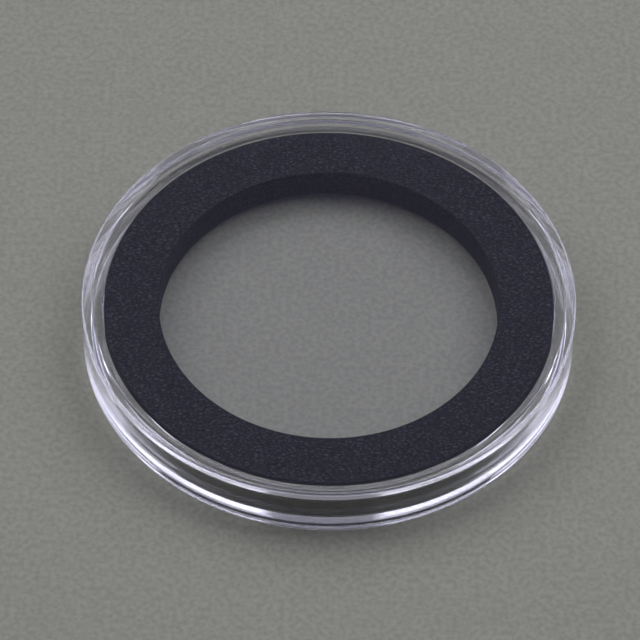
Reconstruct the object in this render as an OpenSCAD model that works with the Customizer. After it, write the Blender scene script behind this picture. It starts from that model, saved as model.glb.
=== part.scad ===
// Ring-type coin capsule: a clear lid and a clear base press together over a foam
// ring that grips one coin by its edge. Millimetres. +Z is the axis of revolution,
// and the capsule stands on the foot rim of the base at z = 0.

/* [Capsule] */
// Outside diameter of both shells
capsule_d = 55.2; // [52:0.1:60]
// Height of the closed capsule, over both raised rims
capsule_h = 6.6; // [6.2:0.1:9]
// Thickness of the clear window of the base
base_window_t = 0.85; // [0.7:0.05:1.2]
// Thickness of the clear window of the lid
lid_window_t = 1.4; // [0.7:0.05:1.6]
// Radial width of the raised rims, and thickness of the wall under them
rim_w = 1.15; // [1:0.05:1.5]
// Height of each raised rim above its window
rim_h = 0.25; // [0.2:0.05:0.5]
// Rounding of the outer edge of each rim
rim_r = 0.3; // [0.1:0.05:0.5]

/* [Press fit] */
// Height of the flange of the base, up to the seam
flange_h = 0.8; // [0.75:0.05:1.1]
// Thickness of the upright tongue on the base, at its root
tongue_t = 1.1; // [0.8:0.05:1.3]
// Draft of the inner face of the tongue, in degrees, which lets the ring slip in
tongue_draft = 1.5; // [0:0.5:3]
// Gap between the top of the tongue and the window of the lid
tongue_gap = 0.2; // [0.1:0.05:0.5]
// Radial gap between the tongue and the wall of the lid
fit_gap = 0.04; // [0.02:0.01:0.1]
// Gap between the wall of the lid and the base, at the seam
seam_gap = 0.05; // [0.02:0.01:0.2]
// Rounding of the two edges that meet at the seam
seam_r = 0.15; // [0.05:0.05:0.3]
// Lead-in chamfer that starts the tongue into the lid
lead_in = 0.2; // [0.1:0.05:0.4]

/* [Foam ring] */
// Diameter of the hole that grips the coin
coin_d = 38; // [30:0.1:45]
// Radial gap between the ring and the root of the tongue
ring_gap = 0.15; // [0.05:0.05:0.3]
// Gap between the ring and each window
ring_face_gap = 0.05; // [0.02:0.01:0.2]

/* [Gate mark] */
// Width of the flat left where the moulding gate was cut off the lid
gate_w = 1.4; // [0.5:0.1:3]
// Height of that flat
gate_h = 0.7; // [0.4:0.05:0.9]
// Depth of that flat below the round outer wall
gate_depth = 0.08; // [0.02:0.01:0.2]
// Direction of the gate mark, in degrees about the axis from +X
gate_azimuth = -21; // [-180:1:180]

/* [Hidden] */
$fn = 180;

// Radii, from the outside in
wall_out_r = capsule_d / 2;
wall_in_r = wall_out_r - rim_w;
tongue_out_r = wall_in_r - fit_gap;
tongue_in_r = tongue_out_r - tongue_t;
ring_out_r = tongue_in_r - ring_gap;

// Heights, from the foot up
base_face_z = rim_h + base_window_t;
seam_top_z = flange_h + seam_gap;
lid_top_z = capsule_h - rim_h;
lid_face_z = lid_top_z - lid_window_t;
tongue_top_z = lid_face_z - tongue_gap;
tongue_top_in_r = tongue_in_r + (tongue_top_z - base_face_z) * tan(tongue_draft);

inner_rim_r = 0.1;
arc_steps = 6;
cut_margin = 1;

// Points along the rounding of radius r about centre c, from angle a0 to angle a1
function arc(c, r, a0, a1) =
    [for (i = [0:arc_steps]) let (a = a0 + (a1 - a0) * i / arc_steps) c + r * [cos(a), sin(a)]];

// Base half-section: window, foot rim, flange up to the seam, and the tongue
base_profile = concat(
    [[0, rim_h], [wall_in_r, rim_h]],
    arc([wall_in_r + inner_rim_r, inner_rim_r], inner_rim_r, 180, 270),
    arc([wall_out_r - rim_r, rim_r], rim_r, 270, 360),
    arc([wall_out_r - seam_r, flange_h - seam_r], seam_r, 0, 90),
    [
        [tongue_out_r, flange_h],
        [tongue_out_r, tongue_top_z - lead_in],
        [tongue_out_r - lead_in, tongue_top_z],
        [tongue_top_in_r, tongue_top_z],
        [tongue_in_r, base_face_z],
        [0, base_face_z]
    ]
);

// Lid half-section: window, top rim, and the wall that slips down over the tongue
lid_profile = concat(
    [[0, lid_face_z], [wall_in_r, lid_face_z], [wall_in_r, seam_top_z + lead_in], [wall_in_r + lead_in, seam_top_z]],
    arc([wall_out_r - seam_r, seam_top_z + seam_r], seam_r, 270, 360),
    arc([wall_out_r - rim_r, capsule_h - rim_r], rim_r, 0, 90),
    arc([wall_in_r + inner_rim_r, capsule_h - inner_rim_r], inner_rim_r, 90, 180),
    [[wall_in_r, lid_top_z], [0, lid_top_z]]
);

// Block that shaves the gate flat off the outer wall, just under the top rim
module gate_cut() {
    rotate(gate_azimuth)
        translate([wall_out_r - gate_depth, -gate_w / 2, capsule_h - rim_r - gate_h])
            cube([cut_margin, gate_w, gate_h]);
}

module bottom_shell() {
    color([0.80, 0.84, 0.88, 0.35])
        rotate_extrude()
            polygon(base_profile);
}

module top_shell() {
    color([0.86, 0.89, 0.94, 0.35])
        difference() {
            rotate_extrude()
                polygon(lid_profile);
            gate_cut();
        }
}

module foam_ring() {
    color([0.10, 0.10, 0.12])
        translate([0, 0, base_face_z + ring_face_gap])
            difference() {
                cylinder(r = ring_out_r, h = lid_face_z - base_face_z - 2 * ring_face_gap);
                translate([0, 0, -cut_margin])
                    cylinder(d = coin_d, h = capsule_h + 2 * cut_margin);
            }
}

bottom_shell();
top_shell();
foam_ring();
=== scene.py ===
"""Ring-type coin capsule: a clear lid and a clear base around a black foam ring.

The CAD frame gives the overall sizes. The shells are turned here again as fine, exactly shaded
meshes, because clear plastic shows every facet, and the ring gets its grained skin.
Lengths are in metres, and a half-section is drawn as (radius, height) about the Z axis.
"""

import math

import bpy
import numpy as np
from mathutils import Matrix, Vector, noise


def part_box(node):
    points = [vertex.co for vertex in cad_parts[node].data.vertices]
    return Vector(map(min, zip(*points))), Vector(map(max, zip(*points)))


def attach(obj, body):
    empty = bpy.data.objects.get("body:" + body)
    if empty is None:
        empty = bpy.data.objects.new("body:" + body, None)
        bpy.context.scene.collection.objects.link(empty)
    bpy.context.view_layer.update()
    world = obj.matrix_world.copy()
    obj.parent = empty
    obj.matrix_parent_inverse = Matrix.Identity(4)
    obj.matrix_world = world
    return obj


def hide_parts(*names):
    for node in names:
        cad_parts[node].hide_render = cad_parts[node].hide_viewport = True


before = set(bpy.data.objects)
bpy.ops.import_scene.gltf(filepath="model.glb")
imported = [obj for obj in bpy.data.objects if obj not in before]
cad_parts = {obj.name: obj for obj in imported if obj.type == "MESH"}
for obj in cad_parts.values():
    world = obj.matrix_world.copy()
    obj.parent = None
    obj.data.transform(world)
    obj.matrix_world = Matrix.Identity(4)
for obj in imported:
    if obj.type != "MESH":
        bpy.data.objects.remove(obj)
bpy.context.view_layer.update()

MM = 0.001

# Sizes that the CAD boxes give
_, BASE_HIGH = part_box("bottom_shell")
LID_LOW, LID_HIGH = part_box("top_shell")
RING_LOW, RING_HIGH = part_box("foam_ring")
WALL_OUT_R = LID_HIGH.x
CAPSULE_H = LID_HIGH.z
SEAM_TOP_Z = LID_LOW.z
TONGUE_TOP_Z = BASE_HIGH.z
RING_OUT_R = RING_HIGH.x

# Sizes of the mouldings that the boxes don't give, as in the CAD source
RIM_W = 1.15 * MM
RIM_H = 0.25 * MM
RIM_R = 0.3 * MM
INNER_RIM_R = 0.1 * MM
BASE_WINDOW_T = 0.85 * MM
LID_WINDOW_T = 1.4 * MM
SEAM_GAP = 0.05 * MM
SEAM_R = 0.15 * MM
LEAD_IN = 0.2 * MM
FIT_GAP = 0.04 * MM
TONGUE_T = 1.1 * MM
TONGUE_DRAFT = math.radians(1.5)
COIN_R = 19.0 * MM

WALL_IN_R = WALL_OUT_R - RIM_W
TONGUE_OUT_R = WALL_IN_R - FIT_GAP
TONGUE_IN_R = TONGUE_OUT_R - TONGUE_T
FLANGE_H = SEAM_TOP_Z - SEAM_GAP
BASE_FACE_Z = RIM_H + BASE_WINDOW_T
LID_TOP_Z = CAPSULE_H - RIM_H
LID_FACE_Z = LID_TOP_Z - LID_WINDOW_T

# Flat left where the moulding gate was cut off the lid
GATE_AZIMUTH = math.radians(-21)
GATE_W = 1.4 * MM
GATE_H = 0.7 * MM
GATE_DEPTH = 0.08 * MM
GATE_TOP_Z = CAPSULE_H - RIM_R
GATE_LOW_Z = GATE_TOP_Z - GATE_H
GATE_MARGIN = 0.05 * MM

# Steps of the shells' meshes: round the axis, round each corner, and across each flat window
SHELL_SEGMENTS = 360
ARC_STEPS = 8
WINDOW_STEPS = 6
ON_AXIS = 1e-9

# Clear plastic: its polish is the roughness, which smears vary and fine scratches raise
ACRYLIC_TINT = (0.998, 0.999, 1.0)
ACRYLIC_IOR = 1.49
POLISH = 0.035
SMEAR_SIZE = 5 * MM
SMEAR_NOISE = (0.35, 0.65)
SMEAR_DEPTH = 0.15
SCRATCH_WIDTH = 0.12 * MM
SCRATCH_STRETCH = 60
SCRATCH_TURNS = (0.3, 1.1, 2.2)
SCRATCH_NOISE = (0.70, 0.76)
SCRATCH_HAZE = 1.5

# Paper floor: a fine tooth between two tones, with faint cloudy patches
FLOOR_SIZE = 4
FLOOR_DROP = 0.05 * MM
FLOOR_DARK = (0.21, 0.21, 0.15)
FLOOR_LIGHT = (0.26, 0.26, 0.19)
FLOOR_ROUGHNESS = 0.9
PAPER_TOOTH = 0.6 * MM
PAPER_TOOTH_NOISE = (0.35, 0.65)
PAPER_CLOUD = 4 * MM
PAPER_CLOUD_NOISE = (0.3, 0.7)
PAPER_CLOUD_DEPTH = 0.06

# Studio: three softboxes, each a patch of a sphere about the object, in degrees of azimuth
# and elevation, and an even light from all round
WORLD_LIGHT = 0.19
WORLD_COLOUR = (1.0, 0.98, 1.45)
SOFTBOX_COLOUR = (0.93, 0.93, 1.16)
SOFTBOX_DISTANCE = 1.2
SOFTBOX_COLUMNS = 24
SOFTBOX_ROWS = 12
LEFT_AZIMUTHS = (103, 184)
LEFT_ELEVATIONS = (32, 82)
LEFT_RADIANCE = 2.5
RIGHT_AZIMUTHS = (-4, 76)
RIGHT_ELEVATIONS = (32, 82)
RIGHT_RADIANCE = 2.7
TOP_AZIMUTHS = (76, 103)
TOP_ELEVATIONS = (66, 90)
TOP_RADIANCE = 2.0
LIGHT_BOUNCES = 128

# Camera, at the photograph's viewing angle: it stands off from a pivot on the axis, and looks
# at a spot beside the pivot
CAMERA_ELEVATION = math.radians(51.1)
CAMERA_DISTANCE = 467 * MM
CAMERA_LENS = 234.9
CAMERA_SENSOR = 36
CAMERA_NEAR = 0.01
CAMERA_ROLL = math.radians(0.9)
PIVOT_Z = CAPSULE_H - 1.25 * MM
AIM = Vector((-0.96 * MM, -1.52 * MM, CAPSULE_H - 2.48 * MM))

# Relief of the foam ring: pebbled skin on both faces, die-cut walls with fine pores, and
# slightly rounded edges. A crease's width and a pebble's bend are in sizes of a pebble.
GRAIN_LENGTH = 0.52 * MM
GRAIN_WIDTH = 0.40 * MM
GRAIN_DEPTH = 0.08 * MM
GRAIN_BEND = 0.35
GRAIN_BEND_SCALE = 0.7
GRAIN_SEED = 1
CREASE_WIDTH = 0.45
CREASE_SHARE = 0.7
SWELL_SHARE = 0.25
SWELL_SCALE = 0.25
PORE_SIZE = 0.30 * MM
PORE_DEPTH = 0.015 * MM
DIE_CUT_R = 0.10 * MM
FOAM_SEGMENTS = 900
FACE_ROWS = 40
INNER_ROWS = 12
OUTER_ROWS = 5
EDGE_ROWS = 2

# Looks of the foam: a second leather grain laid over the modelled one, tones from painted shade in a
# crease to a painted bluish sheen on the top of a pebble, and die-cut walls that get little of that
# painted sheen, so they are darker than the skin
WRINKLE_LENGTH = 0.62 * MM
WRINKLE_WIDTH = 0.32 * MM
WRINKLE_DEPTH = 0.03 * MM
WRINKLE_BEND = 1.2
WRINKLE_BEND_SCALE = 0.9
WRINKLE_EDGE = 0.35
# Painted shade: at a crease of the modelled relief the colour falls to this share of a pebble's top
RELIEF_TOP = 0.8
RELIEF_CREASE_SHADE = 0.3
WALL_TONE = 0.2
FOAM_MOTTLE = 1.6 * MM
MOTTLE_NOISE = (0.3, 0.7)
MOTTLE_TONE = 0.75
FOAM_FINE = 0.12 * MM
FOAM_FINE_DEPTH = 0.01 * MM
FOAM_TONES = (0.05, 0.85)
# The dark colour is painted shade in the creases, the light one a painted bluish sheen on pebble tops
FOAM_SHADED = (0.003, 0.0033, 0.0037)
FOAM_SHEEN = (0.04, 0.043, 0.047)
FOAM_ROUGH_TONES = (0.1, 0.8)
FOAM_CREASE_ROUGHNESS = 0.85
FOAM_PEBBLE_ROUGHNESS = 0.6
FOAM_SPECULAR = 0.1


# ---------------------------------------------------------------- meshes


def mesh_object(name, verts, faces):
    """A new object in the scene, with a mesh of its own."""
    mesh = bpy.data.meshes.new(name)
    mesh.from_pydata(verts, [], faces)
    made = bpy.data.objects.new(name, mesh)
    bpy.context.scene.collection.objects.link(made)
    return made


def line(start, end, steps=1):
    """A straight stretch of a half-section that is drawn anticlockwise, with its outward normal."""
    start, end = np.array(start, float), np.array(end, float)
    along = (end - start) / np.linalg.norm(end - start)
    normal = np.array([along[1], -along[0]])
    return [(start + (end - start) * i / steps, normal) for i in range(steps + 1)]


def arc(centre, radius, from_deg, to_deg):
    """A rounded corner of a half-section, turning about its centre, with its outward normals."""
    made = []
    for i in range(ARC_STEPS + 1):
        a = math.radians(from_deg + (to_deg - from_deg) * i / ARC_STEPS)
        normal = np.array([math.cos(a), math.sin(a)])
        made.append((np.array(centre, float) + radius * normal, normal))
    return made


def turned(stretches, segments):
    """Turns a half-section about Z, with exact normals, so that flats stay flat and roundings smooth.

    Returns the points, the faces, and for each face the normals at its corners.
    """
    verts, faces, normals, rings = [], [], [], {}
    angles = [2 * math.pi * (k + 0.5) / segments for k in range(segments)]

    def ring(point):
        """Numbers of the points round the axis, shared by the stretches that meet there."""
        key = (round(point[0], 9), round(point[1], 9))
        if key not in rings:
            if point[0] < ON_AXIS:
                verts.append((0, 0, point[1]))
                rings[key] = [len(verts) - 1] * segments
            else:
                first = len(verts)
                verts.extend((point[0] * math.cos(a), point[0] * math.sin(a), point[1])
                             for a in angles)
                rings[key] = list(range(first, first + segments))
        return rings[key]

    def normal_at(n, k):
        a = angles[k]
        return (n[0] * math.cos(a), n[0] * math.sin(a), n[1])

    for stretch in stretches:
        for (p, pn), (q, qn) in zip(stretch, stretch[1:]):
            near, far = ring(p), ring(q)
            for k in range(segments):
                m = (k + 1) % segments
                corners = [(near[k], normal_at(pn, k)), (near[m], normal_at(pn, m)),
                           (far[m], normal_at(qn, m)), (far[k], normal_at(qn, k))]
                # A face that reaches the axis is a triangle
                if p[0] < ON_AXIS:
                    corners.pop(0)
                elif q[0] < ON_AXIS:
                    corners.pop(2)
                faces.append([v for v, _ in corners])
                normals.append([n for _, n in corners])
    return verts, faces, normals


def gate_cut(verts, faces, normals):
    """Sinks the flat of the cut-off gate into the lid's outer wall, in the row of faces for it."""
    out = Vector((math.cos(GATE_AZIMUTH), math.sin(GATE_AZIMUTH), 0))
    across = Vector((-out.y, out.x, 0))
    up = Vector((0, 0, 1))

    def in_gate(face):
        points = [Vector(verts[v]) for v in face]
        return all(p.dot(out) > WALL_OUT_R - GATE_DEPTH
                   and abs(p.dot(across)) < GATE_W / 2 + GATE_MARGIN
                   and GATE_LOW_Z - GATE_MARGIN < p.z < GATE_TOP_Z + GATE_MARGIN for p in points)

    def sunk(v):
        """Number of a new point, which is point v moved in to the flat."""
        p = Vector(verts[v])
        verts.append(p - out * (p.dot(out) - WALL_OUT_R + GATE_DEPTH))
        return len(verts) - 1

    def add(face, normal):
        faces.append(face)
        normals.append([normal] * len(face))

    patch = [i for i, face in enumerate(faces) if in_gate(face)]
    quads = sorted((faces[i] for i in patch), key=lambda face: Vector(verts[face[0]]).dot(across))
    for i in reversed(patch):
        del faces[i], normals[i]
    # Each quad's corners run along its low edge, and back along its high edge
    low = [quads[0][0]] + [quad[1] for quad in quads]
    high = [quads[0][3]] + [quad[2] for quad in quads]
    low_in, high_in = [sunk(v) for v in low], [sunk(v) for v in high]
    for j in range(len(quads)):
        add([low_in[j], low_in[j + 1], high_in[j + 1], high_in[j]], out)
        add([low[j], low[j + 1], low_in[j + 1], low_in[j]], up)
        add([high_in[j], high_in[j + 1], high[j + 1], high[j]], -up)
    add([low[0], low_in[0], high_in[0], high[0]], across)
    add([low_in[-1], low[-1], high[-1], high_in[-1]], -across)
    return verts, faces, normals


def shell(name, verts, faces, normals):
    """A smooth-shaded object with a normal of its own at each corner of each face."""
    piece = mesh_object(name, verts, faces)
    piece.data.polygons.foreach_set("use_smooth", [True] * len(faces))
    piece.data.normals_split_custom_set([n for corners in normals for n in corners])
    piece.data.update()
    return piece


def base_section():
    """Window, foot rim, flange up to the seam, and the tongue, from the axis out and back."""
    foot_in = (WALL_IN_R + INNER_RIM_R, INNER_RIM_R)
    foot_out = (WALL_OUT_R - RIM_R, RIM_R)
    seam = (WALL_OUT_R - SEAM_R, FLANGE_H - SEAM_R)
    lead = TONGUE_TOP_Z - LEAD_IN
    tongue_top_r = TONGUE_IN_R + (TONGUE_TOP_Z - BASE_FACE_Z) * math.tan(TONGUE_DRAFT)
    return [
        line((0, RIM_H), (WALL_IN_R, RIM_H), WINDOW_STEPS),
        line((WALL_IN_R, RIM_H), (WALL_IN_R, foot_in[1])),
        arc(foot_in, INNER_RIM_R, 180, 270),
        line((foot_in[0], 0), (foot_out[0], 0)),
        arc(foot_out, RIM_R, 270, 360),
        line((WALL_OUT_R, RIM_R), (WALL_OUT_R, seam[1])),
        arc(seam, SEAM_R, 0, 90),
        line((seam[0], FLANGE_H), (TONGUE_OUT_R, FLANGE_H)),
        line((TONGUE_OUT_R, FLANGE_H), (TONGUE_OUT_R, lead)),
        line((TONGUE_OUT_R, lead), (TONGUE_OUT_R - LEAD_IN, TONGUE_TOP_Z)),
        line((TONGUE_OUT_R - LEAD_IN, TONGUE_TOP_Z), (tongue_top_r, TONGUE_TOP_Z)),
        line((tongue_top_r, TONGUE_TOP_Z), (TONGUE_IN_R, BASE_FACE_Z)),
        line((TONGUE_IN_R, BASE_FACE_Z), (0, BASE_FACE_Z), WINDOW_STEPS),
    ]


def lid_section():
    """Window, wall down over the tongue, and the top rim, from the axis out and back."""
    seam = (WALL_OUT_R - SEAM_R, SEAM_TOP_Z + SEAM_R)
    rim_out = (WALL_OUT_R - RIM_R, CAPSULE_H - RIM_R)
    rim_in = (WALL_IN_R + INNER_RIM_R, CAPSULE_H - INNER_RIM_R)
    lead = SEAM_TOP_Z + LEAD_IN
    return [
        line((0, LID_FACE_Z), (WALL_IN_R, LID_FACE_Z), WINDOW_STEPS),
        line((WALL_IN_R, LID_FACE_Z), (WALL_IN_R, lead)),
        line((WALL_IN_R, lead), (WALL_IN_R + LEAD_IN, SEAM_TOP_Z)),
        line((WALL_IN_R + LEAD_IN, SEAM_TOP_Z), (seam[0], SEAM_TOP_Z)),
        arc(seam, SEAM_R, 270, 360),
        line((WALL_OUT_R, seam[1]), (WALL_OUT_R, GATE_LOW_Z)),
        line((WALL_OUT_R, GATE_LOW_Z), (WALL_OUT_R, GATE_TOP_Z)),
        arc(rim_out, RIM_R, 0, 90),
        line((rim_out[0], CAPSULE_H), (rim_in[0], CAPSULE_H)),
        arc(rim_in, INNER_RIM_R, 90, 180),
        line((WALL_IN_R, rim_in[1]), (WALL_IN_R, LID_TOP_Z)),
        line((WALL_IN_R, LID_TOP_Z), (0, LID_TOP_Z), WINDOW_STEPS),
    ]


def pebbles(place):
    """Height of the leather grain of the skin, from 0 in a crease to 1 on a pebble."""
    # The whole millimetre of height gives each face a slice of its own through the pattern
    spot = Vector((place.x / GRAIN_LENGTH, place.y / GRAIN_WIDTH, round(place.z / MM)))
    bend = noise.noise_vector(spot * GRAIN_BEND_SCALE) * GRAIN_BEND
    near, second = noise.voronoi(spot + bend)[0][:2]
    crease = min(1.0, (second - near) / CREASE_WIDTH)
    rise = crease * crease * (3 - 2 * crease)
    dome = max(0.0, 1 - near * near)
    swell = 0.5 + 0.5 * noise.noise(spot * SWELL_SCALE)
    pebble = CREASE_SHARE * rise + (1 - CREASE_SHARE) * dome
    return pebble * (1 - SWELL_SHARE + SWELL_SHARE * swell)


def pores(place):
    """Height of a die-cut wall, from 0 in a pore to 1."""
    return 0.5 + 0.5 * noise.noise(place / PORE_SIZE)


def foam_section():
    """Closed half-section of the ring as points, outward normals and whether each lies on a skin."""
    low, high, rad = RING_LOW.z, RING_HIGH.z, DIE_CUT_R
    # Centre and angles of each rounded edge, clockwise from the one at the top of the hole
    corners = [(COIN_R + rad, high - rad, 180, 90), (RING_OUT_R - rad, high - rad, 90, 0),
               (RING_OUT_R - rad, low + rad, 0, -90), (COIN_R + rad, low + rad, -90, -180)]
    rows = (FACE_ROWS, OUTER_ROWS, FACE_ROWS, INNER_ROWS)
    made = []
    for i, (r, z, a0, a1) in enumerate(corners):
        for j in range(EDGE_ROWS + 1):
            a = math.radians(a0 + (a1 - a0) * j / EDGE_ROWS)
            normal = np.array([math.cos(a), math.sin(a)])
            made.append((np.array([r, z]) + rad * normal, normal, False))
        on_skin = i in (0, 2)
        start, normal = made[-1][:2]
        next_r, next_z, _, _ = corners[(i + 1) % 4]
        end = np.array([next_r, next_z]) + rad * normal
        for j in range(1, rows[i]):
            made.append((start + (end - start) * j / rows[i], normal, on_skin))
    return made


def foam_ring():
    """The ring's surface, which lies inside the CAD solid and meets it only at the highest tops.

    The attribute `height` carries the relief to the material, which paints shade into the creases and
    a sheen on the pebbles by it; it is lower on the walls than on the skin.
    """
    # Without a seed, Blender seeds its vector noise by the clock, and each run gets another grain
    noise.seed_set(GRAIN_SEED)
    section = foam_section()
    verts, faces, heights = [], [], []
    for point, normal, on_skin in section:
        for k in range(FOAM_SEGMENTS):
            a = 2 * math.pi * k / FOAM_SEGMENTS
            out = Vector((normal[0] * math.cos(a), normal[0] * math.sin(a), normal[1]))
            place = Vector((point[0] * math.cos(a), point[0] * math.sin(a), point[1]))
            height = pebbles(place) if on_skin else pores(place)
            depth = GRAIN_DEPTH if on_skin else PORE_DEPTH
            verts.append(place - out * depth * (1 - height))
            heights.append(height if on_skin else height * WALL_TONE)
    count = len(section)
    for i in range(count):
        here, there = i * FOAM_SEGMENTS, (i + 1) % count * FOAM_SEGMENTS
        for k in range(FOAM_SEGMENTS):
            m = (k + 1) % FOAM_SEGMENTS
            faces.append((here + k, there + k, there + m, here + m))
    piece = mesh_object("foam_insert", verts, faces)
    piece.data.polygons.foreach_set("use_smooth", [True] * len(faces))
    piece.data.attributes.new("height", "FLOAT", "POINT").data.foreach_set("value", heights)
    piece.data.update()
    return piece


# ---------------------------------------------------------------- materials


def principled(name):
    """A new material, its node tree and its Principled shader."""
    made = bpy.data.materials.new(name)
    made.use_nodes = True
    tree = made.node_tree
    return made, tree, tree.nodes["Principled BSDF"]


def noise_texture(tree, size, detail=2.0, stretch=(1, 1, 1), turn=0):
    """Noise fixed to the piece, with features of a real size, stretched and turned about Z."""
    place = tree.nodes.new("ShaderNodeTexCoord")
    mapping = tree.nodes.new("ShaderNodeMapping")
    mapping.vector_type = "TEXTURE"
    mapping.inputs["Rotation"].default_value = (0, 0, turn)
    mapping.inputs["Scale"].default_value = [size * along for along in stretch]
    tree.links.new(place.outputs["Object"], mapping.inputs["Vector"])
    texture = tree.nodes.new("ShaderNodeTexNoise")
    texture.inputs["Scale"].default_value = 1.0
    texture.inputs["Detail"].default_value = detail
    tree.links.new(mapping.outputs["Vector"], texture.inputs["Vector"])
    return texture.outputs["Fac"]


def between(tree, value, low, high, start, end):
    """Maps a value from low..high to start..end, and keeps it within them."""
    scale = tree.nodes.new("ShaderNodeMapRange")
    scale.inputs["From Min"].default_value = low
    scale.inputs["From Max"].default_value = high
    scale.inputs["To Min"].default_value = start
    scale.inputs["To Max"].default_value = end
    tree.links.new(value, scale.inputs["Value"])
    return scale.outputs["Result"]


def blended(tree, value, low, high, dark, light):
    """A colour that goes from dark to light as a value goes from low to high."""
    ramp = tree.nodes.new("ShaderNodeValToRGB")
    ramp.color_ramp.elements[0].position = low
    ramp.color_ramp.elements[0].color = (*dark, 1)
    ramp.color_ramp.elements[1].position = high
    ramp.color_ramp.elements[1].color = (*light, 1)
    tree.links.new(value, ramp.inputs["Fac"])
    return ramp.outputs["Color"]


def times(tree, a, b):
    """The product of two values."""
    product = tree.nodes.new("ShaderNodeMath")
    product.operation = "MULTIPLY"
    tree.links.new(a, product.inputs[0])
    tree.links.new(b, product.inputs[1])
    return product.outputs["Value"]


def bumped(tree, height, depth, onto=None):
    """A normal for relief of a real depth, on top of another relief if one is given."""
    bump = tree.nodes.new("ShaderNodeBump")
    bump.inputs["Strength"].default_value = 1.0
    bump.inputs["Distance"].default_value = depth
    tree.links.new(height, bump.inputs["Height"])
    if onto is not None:
        tree.links.new(onto, bump.inputs["Normal"])
    return bump.outputs["Normal"]


def clear_acrylic():
    """Polished clear plastic, hazed a little by handling."""
    made, tree, shader = principled("clear_acrylic")
    shader.inputs["Base Color"].default_value = (*ACRYLIC_TINT, 1)
    shader.inputs["Transmission Weight"].default_value = 1.0
    shader.inputs["IOR"].default_value = ACRYLIC_IOR
    smears = noise_texture(tree, SMEAR_SIZE, 3.0)
    worn = between(tree, smears, *SMEAR_NOISE, (1 - SMEAR_DEPTH) * POLISH, (1 + SMEAR_DEPTH) * POLISH)
    for turn in SCRATCH_TURNS:
        scratches = noise_texture(tree, SCRATCH_WIDTH, 1.0, (SCRATCH_STRETCH, 1, 1), turn)
        worn = times(tree, worn, between(tree, scratches, *SCRATCH_NOISE, 1.0, SCRATCH_HAZE))
    tree.links.new(worn, shader.inputs["Roughness"])
    return made


def wrinkles(tree, length, width):
    """Leather grain fixed to the piece: 0 in the creases, and rising towards the tops of pebbles."""
    place = tree.nodes.new("ShaderNodeTexCoord")
    mapping = tree.nodes.new("ShaderNodeMapping")
    mapping.vector_type = "TEXTURE"
    mapping.inputs["Scale"].default_value = (length, width, width)
    tree.links.new(place.outputs["Object"], mapping.inputs["Vector"])
    bend = tree.nodes.new("ShaderNodeTexNoise")
    bend.inputs["Scale"].default_value = WRINKLE_BEND_SCALE
    bend.inputs["Detail"].default_value = 2.0
    tree.links.new(mapping.outputs["Vector"], bend.inputs["Vector"])
    shifted = tree.nodes.new("ShaderNodeVectorMath")
    shifted.operation = "MULTIPLY_ADD"
    shifted.inputs[1].default_value = (WRINKLE_BEND, WRINKLE_BEND, WRINKLE_BEND)
    tree.links.new(bend.outputs["Color"], shifted.inputs[0])
    tree.links.new(mapping.outputs["Vector"], shifted.inputs[2])
    cells = tree.nodes.new("ShaderNodeTexVoronoi")
    cells.feature = "DISTANCE_TO_EDGE"
    cells.inputs["Scale"].default_value = 1.0
    tree.links.new(shifted.outputs["Vector"], cells.inputs["Vector"])
    return cells.outputs["Distance"]


def black_foam():
    """Closed-cell foam: painted shade near black in the creases, a painted bluish sheen on its
    grain's pebbles.
    """
    made, tree, shader = principled("black_foam")
    relief = tree.nodes.new("ShaderNodeAttribute")
    relief.attribute_name = "height"
    # The relief paints shade into the colour: darker in the creases, with a sheen on the tops of the
    # pebbles
    relief_shade_and_sheen = between(tree, relief.outputs["Fac"], 0.0, RELIEF_TOP, RELIEF_CREASE_SHADE, 1.0)
    grain = between(tree, wrinkles(tree, WRINKLE_LENGTH, WRINKLE_WIDTH), 0.0, WRINKLE_EDGE, 0.0, 1.0)
    mottle = between(tree, noise_texture(tree, FOAM_MOTTLE, 3.0), *MOTTLE_NOISE, MOTTLE_TONE, 1.0)
    # The second grain's creases are painted shade too; the mottle is the foam's own uneven tone
    tone = times(tree, times(tree, grain, relief_shade_and_sheen), mottle)
    colour = blended(tree, tone, *FOAM_TONES, FOAM_SHADED, FOAM_SHEEN)
    roughness = between(tree, tone, *FOAM_ROUGH_TONES, FOAM_CREASE_ROUGHNESS, FOAM_PEBBLE_ROUGHNESS)
    tree.links.new(colour, shader.inputs["Base Color"])
    tree.links.new(roughness, shader.inputs["Roughness"])
    # The pebbles' sheen is painted into the colour, so the shader's own specular is kept low
    shader.inputs["Specular IOR Level"].default_value = FOAM_SPECULAR
    fine = bumped(tree, noise_texture(tree, FOAM_FINE, 3.0), FOAM_FINE_DEPTH)
    tree.links.new(bumped(tree, grain, WRINKLE_DEPTH, fine), shader.inputs["Normal"])
    return made


def floor_paper():
    """Matte paper with a fine tooth and faint cloudy patches."""
    made, tree, shader = principled("paper")
    tooth = noise_texture(tree, PAPER_TOOTH, 2.0)
    patches = noise_texture(tree, PAPER_CLOUD, 2.0)
    cloud = between(tree, patches, *PAPER_CLOUD_NOISE, 1 - PAPER_CLOUD_DEPTH, 1 + PAPER_CLOUD_DEPTH)
    tone = blended(tree, times(tree, tooth, cloud), *PAPER_TOOTH_NOISE, FLOOR_DARK, FLOOR_LIGHT)
    tree.links.new(tone, shader.inputs["Base Color"])
    shader.inputs["Roughness"].default_value = FLOOR_ROUGHNESS
    return made


def glow(name, radiance):
    """The even light of a softbox."""
    made = bpy.data.materials.new(name)
    made.use_nodes = True
    nodes = made.node_tree.nodes
    nodes.remove(nodes["Principled BSDF"])
    emission = nodes.new("ShaderNodeEmission")
    emission.inputs["Color"].default_value = (*SOFTBOX_COLOUR, 1)
    emission.inputs["Strength"].default_value = radiance
    made.node_tree.links.new(emission.outputs["Emission"], nodes["Material Output"].inputs["Surface"])
    return made


# ---------------------------------------------------------------- pieces


def put(piece, body, node, material):
    """Gives a piece its material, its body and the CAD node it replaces."""
    piece.data.materials.append(material)
    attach(piece, body)
    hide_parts(node)


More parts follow.
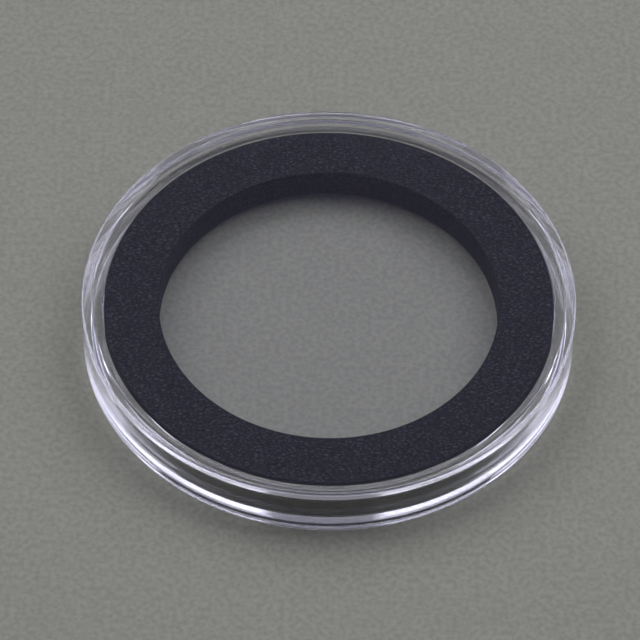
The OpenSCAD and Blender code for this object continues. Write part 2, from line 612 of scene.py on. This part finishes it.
acrylic = clear_acrylic()
foam = black_foam()
base_shell = shell("base_shell", *turned(base_section(), SHELL_SEGMENTS))
lid_shell = shell("lid_shell", *gate_cut(*turned(lid_section(), SHELL_SEGMENTS)))
put(base_shell, "base", "bottom_shell", acrylic)
put(lid_shell, "lid", "top_shell", acrylic)

ring = foam_ring()
put(ring, "insert", "foam_ring", foam)

# ---------------------------------------------------------------- stage and camera


def plain_floor():
    """A wide sheet of paper, just under the foot rim."""
    bpy.ops.mesh.primitive_plane_add(size=FLOOR_SIZE, location=(0, 0, -FLOOR_DROP))
    floor = bpy.context.object
    floor.name = "floor"
    floor.data.materials.append(floor_paper())


def room_light():
    """An even light from all round."""
    world = bpy.data.worlds.new("studio")
    bpy.context.scene.world = world
    world.use_nodes = True
    background = world.node_tree.nodes["Background"]
    background.inputs["Color"].default_value = (*WORLD_COLOUR, 1)
    background.inputs["Strength"].default_value = WORLD_LIGHT


def light_paths():
    """Enough bounces for light to get through the walls of both shells, and no blur on its way."""
    cycles = bpy.context.scene.cycles
    cycles.max_bounces = LIGHT_BOUNCES
    cycles.transmission_bounces = LIGHT_BOUNCES
    cycles.glossy_bounces = LIGHT_BOUNCES
    cycles.blur_glossy = 0


def softbox(name, azimuths, elevations, radiance):
    """A glowing curved panel, which the camera doesn't see."""
    across, up = SOFTBOX_COLUMNS, SOFTBOX_ROWS
    verts, faces = [], []
    for j in range(up + 1):
        el = math.radians(elevations[0] + (elevations[1] - elevations[0]) * j / up)
        for i in range(across + 1):
            az = math.radians(azimuths[0] + (azimuths[1] - azimuths[0]) * i / across)
            way = Vector((math.cos(el) * math.cos(az), math.cos(el) * math.sin(az), math.sin(el)))
            verts.append(way * SOFTBOX_DISTANCE)
    for j in range(up):
        for i in range(across):
            k = j * (across + 1) + i
            faces.append((k, k + 1, k + across + 2, k + across + 1))
    panel = mesh_object(name, verts, faces)
    panel.visible_camera = False
    panel.data.materials.append(glow(name, radiance))


def photo_camera():
    """A camera that looks down on the capsule as in the photograph, with everything in focus."""
    back = Vector((0, -math.cos(CAMERA_ELEVATION), math.sin(CAMERA_ELEVATION)))
    camera_data = bpy.data.cameras.new("camera")
    camera_data.lens = CAMERA_LENS
    camera_data.sensor_width = CAMERA_SENSOR
    camera_data.clip_start = CAMERA_NEAR
    camera = bpy.data.objects.new("camera", camera_data)
    bpy.context.scene.collection.objects.link(camera)
    camera.location = Vector((0, 0, PIVOT_Z)) + back * CAMERA_DISTANCE
    look = (AIM - camera.location).to_track_quat("-Z", "Y").to_matrix().to_4x4()
    roll = Matrix.Rotation(CAMERA_ROLL, 4, "Z")
    camera.matrix_world = Matrix.Translation(camera.location) @ look @ roll
    bpy.context.scene.camera = camera


plain_floor()
room_light()
light_paths()
softbox("softbox_left", LEFT_AZIMUTHS, LEFT_ELEVATIONS, LEFT_RADIANCE)
softbox("softbox_right", RIGHT_AZIMUTHS, RIGHT_ELEVATIONS, RIGHT_RADIANCE)
softbox("softbox_top", TOP_AZIMUTHS, TOP_ELEVATIONS, TOP_RADIANCE)
photo_camera()
bpy.context.scene.view_settings.view_transform = "Standard"
